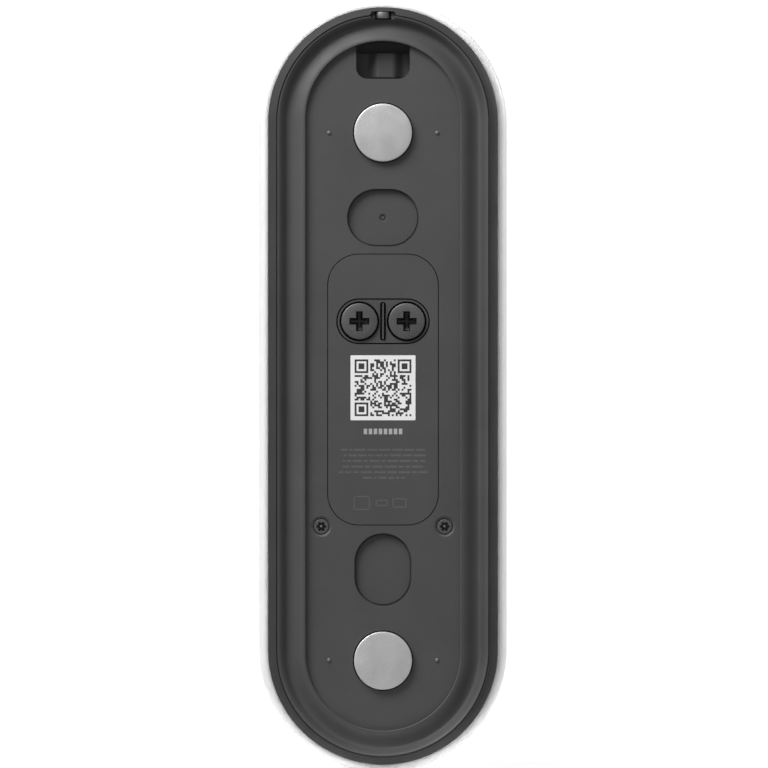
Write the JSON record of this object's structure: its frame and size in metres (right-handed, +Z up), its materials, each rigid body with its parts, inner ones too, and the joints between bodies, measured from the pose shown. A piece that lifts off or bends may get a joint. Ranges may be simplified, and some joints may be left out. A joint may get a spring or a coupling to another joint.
{
  "type": "video doorbell",
  "caption": "Slim pill-shaped wired video doorbell with a white shell, dark recessed back, wiring screws, camera window and lit push button.",
  "frame": {"origin": "centre of the plane that the dark rear rim rests against on the wall plate", "axes": "+Z up along the body, +Y out of the back towards the wall, +X to the left seen from behind"},
  "size_m": [0.042, 0.0264, 0.131],
  "materials": {
    "white_shell": "satin moulded plastic",
    "dark_rim": "fine matte texture",
    "dark_cover": "fine matte texture",
    "printed_label": "printed film",
    "satin_steel": "satin blasted",
    "dark_steel": "black oxide",
    "zinc_steel": "zinc plated",
    "brass": "tin-flashed brass",
    "heat_aluminium": "plain sheet",
    "circuit_board": "green solder mask",
    "flex_film": "amber film",
    "inner_plastic": "plain moulded",
    "switch_plastic": "plain moulded",
    "plunger_plastic": "plain moulded",
    "seal_rubber": "soft silicone",
    "boot_rubber": "translucent silicone",
    "thermal_gel": "soft gap filler",
    "capacitor_sleeve": "shrink sleeve",
    "antenna_ceramic": "fired ceramic",
    "window_glass": "polished black",
    "lens_metal": "black anodised",
    "lens_clear": "coated",
    "led_lens": "dark tinted",
    "led_body": "clear encapsulated",
    "button_plastic": "satin moulded plastic",
    "light_diffuser": "frosted diffuser"
  },
  "bodies": {
    "body": {"front_housing": "white_shell", "rear_rim": "dark_rim", "rear_cover": "dark_cover", "label_plate": "dark_cover", "serial_label": "printed_label", "metal_disc_top": "satin_steel", "metal_disc_bottom": "satin_steel", "rear_seal": "seal_rubber", "inner_frame": "inner_plastic", "cover_screw_left": "dark_steel", "cover_screw_right": "dark_steel", "release_spring": "satin_steel", "reset_switch": "switch_plastic", "terminal_base": "dark_cover", "terminal_plate_left": "brass", "terminal_plate_right": "brass", "main_board": "circuit_board", "power_board": "circuit_board", "board_screw_1": "zinc_steel", "board_screw_2": "zinc_steel", "board_screw_3": "zinc_steel", "board_screw_4": "zinc_steel", "processor_shield": "zinc_steel", "thermal_pad": "thermal_gel", "heat_spreader": "heat_aluminium", "backup_capacitor": "capacitor_sleeve", "antenna": "antenna_ceramic", "camera_window": "window_glass", "window_seal": "seal_rubber", "lens_ring": "lens_metal", "lens_glass": "lens_clear", "lens_barrel": "inner_plastic", "image_sensor": "switch_plastic", "camera_board": "circuit_board", "camera_flex": "flex_film", "sensor_board": "circuit_board", "light_sensor": "led_body", "microphone": "brass", "microphone_seal": "seal_rubber", "infrared_led_left": "led_lens", "infrared_led_right": "led_lens", "button_light_ring": "light_diffuser", "button_boot": "boot_rubber", "button_switch": "switch_plastic", "button_board": "circuit_board", "ring_led_1": "led_body", "ring_led_2": "led_body", "ring_led_3": "led_body", "speaker_frame": "inner_plastic", "speaker_magnet": "satin_steel", "speaker_seal": "seal_rubber"},
    "button": {"button_cap": "button_plastic", "switch_plunger": "plunger_plastic"},
    "catch": {"release_catch": "satin_steel"},
    "reset": {"reset_button": "inner_plastic"},
    "cone": {"speaker_cone": "inner_plastic"},
    "clamp_left": {"clamp_washer_left": "dark_steel"},
    "screw_left": {"terminal_screw_left": "dark_steel"},
    "clamp_right": {"clamp_washer_right": "dark_steel"},
    "screw_right": {"terminal_screw_right": "dark_steel"}
  },
  "joints": [
    {"name": "button_press", "type": "slide", "parent": "body", "child": "button", "axis": [0, 1, 0], "range_m": [0, 0.0005], "stiffness_N_per_m": 1200, "springref_m": -0.0002, "deforming": ["button_boot"]},
    {"name": "release_press", "type": "slide", "parent": "body", "child": "catch", "axis": [0, -1, 0], "range_m": [0, 0.001], "stiffness_N_per_m": 400, "springref_m": -0.0005, "deforming": ["release_spring"]},
    {"name": "reset_press", "type": "slide", "parent": "body", "child": "reset", "axis": [0, -1, 0], "range_m": [0, 0.0004], "stiffness_N_per_m": 1000, "springref_m": -0.0002},
    {"name": "cone_travel", "type": "slide", "parent": "body", "child": "cone", "axis": [0, 1, 0], "range_m": [-0.0004, 0.0004], "stiffness_N_per_m": 1500},
    {"name": "clamp_left_lift", "type": "slide", "parent": "body", "child": "clamp_left", "axis": [0, 1, 0], "range_m": [0, 0.00232]},
    {"name": "terminal_screw_left_turn", "type": "hinge", "parent": "clamp_left", "child": "screw_left", "pos_m": [0.004, -0.0009, 0.01096], "axis": [0, 1, 0], "range_deg": [0, 1395]},
    {"name": "clamp_right_lift", "type": "slide", "parent": "body", "child": "clamp_right", "axis": [0, 1, 0], "range_m": [0, 0.00232]},
    {"name": "terminal_screw_right_turn", "type": "hinge", "parent": "clamp_right", "child": "screw_right", "pos_m": [-0.004, -0.0009, 0.01096], "axis": [0, 1, 0], "range_deg": [0, 1395]}
  ],
  "couplings": [
    {"joint": "terminal_screw_left_turn", "follows": "clamp_left_lift", "rad_per_m": 10472},
    {"joint": "terminal_screw_right_turn", "follows": "clamp_right_lift", "rad_per_m": 10472}
  ]
}
